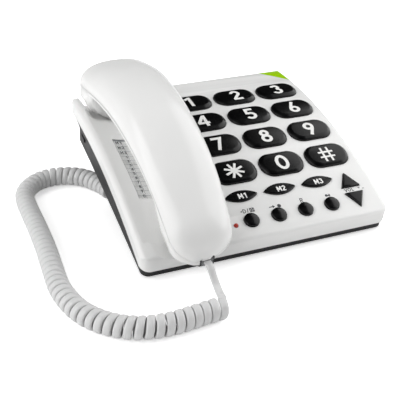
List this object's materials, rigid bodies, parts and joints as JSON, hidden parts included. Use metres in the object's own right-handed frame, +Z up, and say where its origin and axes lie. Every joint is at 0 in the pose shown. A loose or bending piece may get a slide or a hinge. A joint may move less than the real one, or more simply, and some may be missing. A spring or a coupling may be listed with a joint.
{
  "type": "corded landline phone",
  "caption": "Corded desk phone with large keys, memory keys, volume keys, a handset in its cradle and a curly cord, pitched up on a rear stand.",
  "frame": {"origin": "on the desk under the middle of the phone without its cord", "axes": "+X to the right as the user sits, +Y away from the user, +Z up"},
  "size_m": [0.2448, 0.2437, 0.1006],
  "materials": {
    "white_shell": "moulded, satin",
    "black_shell": "moulded, fine texture",
    "black_key": "satin",
    "lime_inlay": "gloss",
    "card": "printed card",
    "clear_cover": "clear moulding",
    "red_lens": "clear red",
    "board_green": "solder mask",
    "grey_rubber": "moulded rubber",
    "black_rubber": "moulded rubber",
    "steel": "zinc plated",
    "dark_plastic": "moulded",
    "cord_grey": "soft moulded sleeve",
    "clear_plug": "clear moulding"
  },
  "bodies": {
    "base": {"top_shell": "white_shell", "bottom_shell": "black_shell", "corner_accent": "lime_inlay", "index_label": "card", "index_cover": "clear_cover", "lamp_lens": "red_lens", "circuit_board": "board_green", "key_mat": "grey_rubber", "board_screws": "steel", "base_screws": "steel", "ballast_plate": "steel", "ringer_speaker": "dark_plastic", "hook_switch": "dark_plastic", "line_jack": "dark_plastic", "cord_jack": "dark_plastic", "desk_stand": "black_shell", "rubber_feet": "black_rubber", "cord_lead_handset": "cord_grey", "curly_cord": "cord_grey", "cord_lead_base": "cord_grey", "plug_base": "clear_plug"},
    "handset": {"handset_back": "white_shell", "handset_front": "white_shell", "receiver": "dark_plastic", "receiver_gasket": "grey_rubber", "microphone": "dark_plastic", "handset_weight": "steel", "handset_jack": "dark_plastic", "handset_screws": "steel", "plug_handset": "clear_plug"},
    "hook_plunger": {"hook_plunger": "white_shell"},
    "ringer_slider": {"ringer_slider": "black_shell"},
    "key_1": {"key_1": "black_key"},
    "key_2": {"key_2": "black_key"},
    "key_3": {"key_3": "black_key"},
    "key_4": {"key_4": "black_key"},
    "key_5": {"key_5": "black_key"},
    "key_6": {"key_6": "black_key"},
    "key_7": {"key_7": "black_key"},
    "key_8": {"key_8": "black_key"},
    "key_9": {"key_9": "black_key"},
    "key_star": {"key_star": "black_key"},
    "key_0": {"key_0": "black_key"},
    "key_hash": {"key_hash": "black_key"},
    "memory_1": {"memory_1": "black_key"},
    "memory_2": {"memory_2": "black_key"},
    "memory_3": {"memory_3": "black_key"},
    "key_mute": {"key_mute": "black_key"},
    "key_redial": {"key_redial": "black_key"},
    "key_recall": {"key_recall": "black_key"},
    "key_speaker": {"key_speaker": "black_key"},
    "volume_up": {"volume_up": "black_key"},
    "volume_down": {"volume_down": "black_key"}
  },
  "joints": [
    {"name": "handset_lift", "type": "slide", "parent": "base", "child": "handset", "axis": [0, 0, 1], "range_m": [0, 0.08], "deforming": ["cord_lead_handset"]},
    {"name": "hook_travel", "type": "slide", "parent": "base", "child": "hook_plunger", "axis": [0, -0.2079, 0.9781], "range_m": [0, 0.004]},
    {"name": "ringer_volume", "type": "slide", "parent": "base", "child": "ringer_slider", "axis": [0, 0.9781, 0.2079], "range_m": [0, 0.006]},
    {"name": "key_1_press", "type": "slide", "parent": "base", "child": "key_1", "axis": [0, 0.1156, -0.9933], "range_m": [0, 0.0015], "stiffness_N_per_m": 400},
    {"name": "key_2_press", "type": "slide", "parent": "base", "child": "key_2", "axis": [0, 0.1156, -0.9933], "range_m": [0, 0.0015], "stiffness_N_per_m": 400},
    {"name": "key_3_press", "type": "slide", "parent": "base", "child": "key_3", "axis": [0, 0.1156, -0.9933], "range_m": [0, 0.0015], "stiffness_N_per_m": 400},
    {"name": "key_4_press", "type": "slide", "parent": "base", "child": "key_4", "axis": [0, 0.1917, -0.9815], "range_m": [0, 0.0015], "stiffness_N_per_m": 400},
    {"name": "key_5_press", "type": "slide", "parent": "base", "child": "key_5", "axis": [0, 0.1917, -0.9815], "range_m": [0, 0.0015], "stiffness_N_per_m": 400},
    {"name": "key_6_press", "type": "slide", "parent": "base", "child": "key_6", "axis": [0, 0.1917, -0.9815], "range_m": [0, 0.0015], "stiffness_N_per_m": 400},
    {"name": "key_7_press", "type": "slide", "parent": "base", "child": "key_7", "axis": [0, 0.2665, -0.9638], "range_m": [0, 0.0015], "stiffness_N_per_m": 400},
    {"name": "key_8_press", "type": "slide", "parent": "base", "child": "key_8", "axis": [0, 0.2665, -0.9638], "range_m": [0, 0.0015], "stiffness_N_per_m": 400},
    {"name": "key_9_press", "type": "slide", "parent": "base", "child": "key_9", "axis": [0, 0.2665, -0.9638], "range_m": [0, 0.0015], "stiffness_N_per_m": 400},
    {"name": "key_star_press", "type": "slide", "parent": "base", "child": "key_star", "axis": [0, 0.3401, -0.9404], "range_m": [0, 0.0015], "stiffness_N_per_m": 400},
    {"name": "key_0_press", "type": "slide", "parent": "base", "child": "key_0", "axis": [0, 0.3401, -0.9404], "range_m": [0, 0.0015], "stiffness_N_per_m": 400},
    {"name": "key_hash_press", "type": "slide", "parent": "base", "child": "key_hash", "axis": [0, 0.3401, -0.9404], "range_m": [0, 0.0015], "stiffness_N_per_m": 400},
    {"name": "memory_1_press", "type": "slide", "parent": "base", "child": "memory_1", "axis": [0, 0.3954, -0.9185], "range_m": [0, 0.0015], "stiffness_N_per_m": 400},
    {"name": "memory_2_press", "type": "slide", "parent": "base", "child": "memory_2", "axis": [0, 0.3954, -0.9185], "range_m": [0, 0.0015], "stiffness_N_per_m": 400},
    {"name": "memory_3_press", "type": "slide", "parent": "base", "child": "memory_3", "axis": [0, 0.3954, -0.9185], "range_m": [0, 0.0015], "stiffness_N_per_m": 400},
    {"name": "key_mute_press", "type": "slide", "parent": "base", "child": "key_mute", "axis": [0, 0.4451, -0.8955], "range_m": [0, 0.0015], "stiffness_N_per_m": 400},
    {"name": "key_redial_press", "type": "slide", "parent": "base", "child": "key_redial", "axis": [0, 0.4451, -0.8955], "range_m": [0, 0.0015], "stiffness_N_per_m": 400},
    {"name": "key_recall_press", "type": "slide", "parent": "base", "child": "key_recall", "axis": [0, 0.4451, -0.8955], "range_m": [0, 0.0015], "stiffness_N_per_m": 400},
    {"name": "key_speaker_press", "type": "slide", "parent": "base", "child": "key_speaker", "axis": [0, 0.4451, -0.8955], "range_m": [0, 0.0015], "stiffness_N_per_m": 400},
    {"name": "volume_up_press", "type": "slide", "parent": "base", "child": "volume_up", "axis": [0, 0.4038, -0.9149], "range_m": [0, 0.0015], "stiffness_N_per_m": 400},
    {"name": "volume_down_press", "type": "slide", "parent": "base", "child": "volume_down", "axis": [0, 0.4458, -0.8951], "range_m": [0, 0.0015], "stiffness_N_per_m": 400}
  ],
  "couplings": [
    {"joint": "hook_travel", "follows": "handset_lift", "ratio": 0.05}
  ]
}
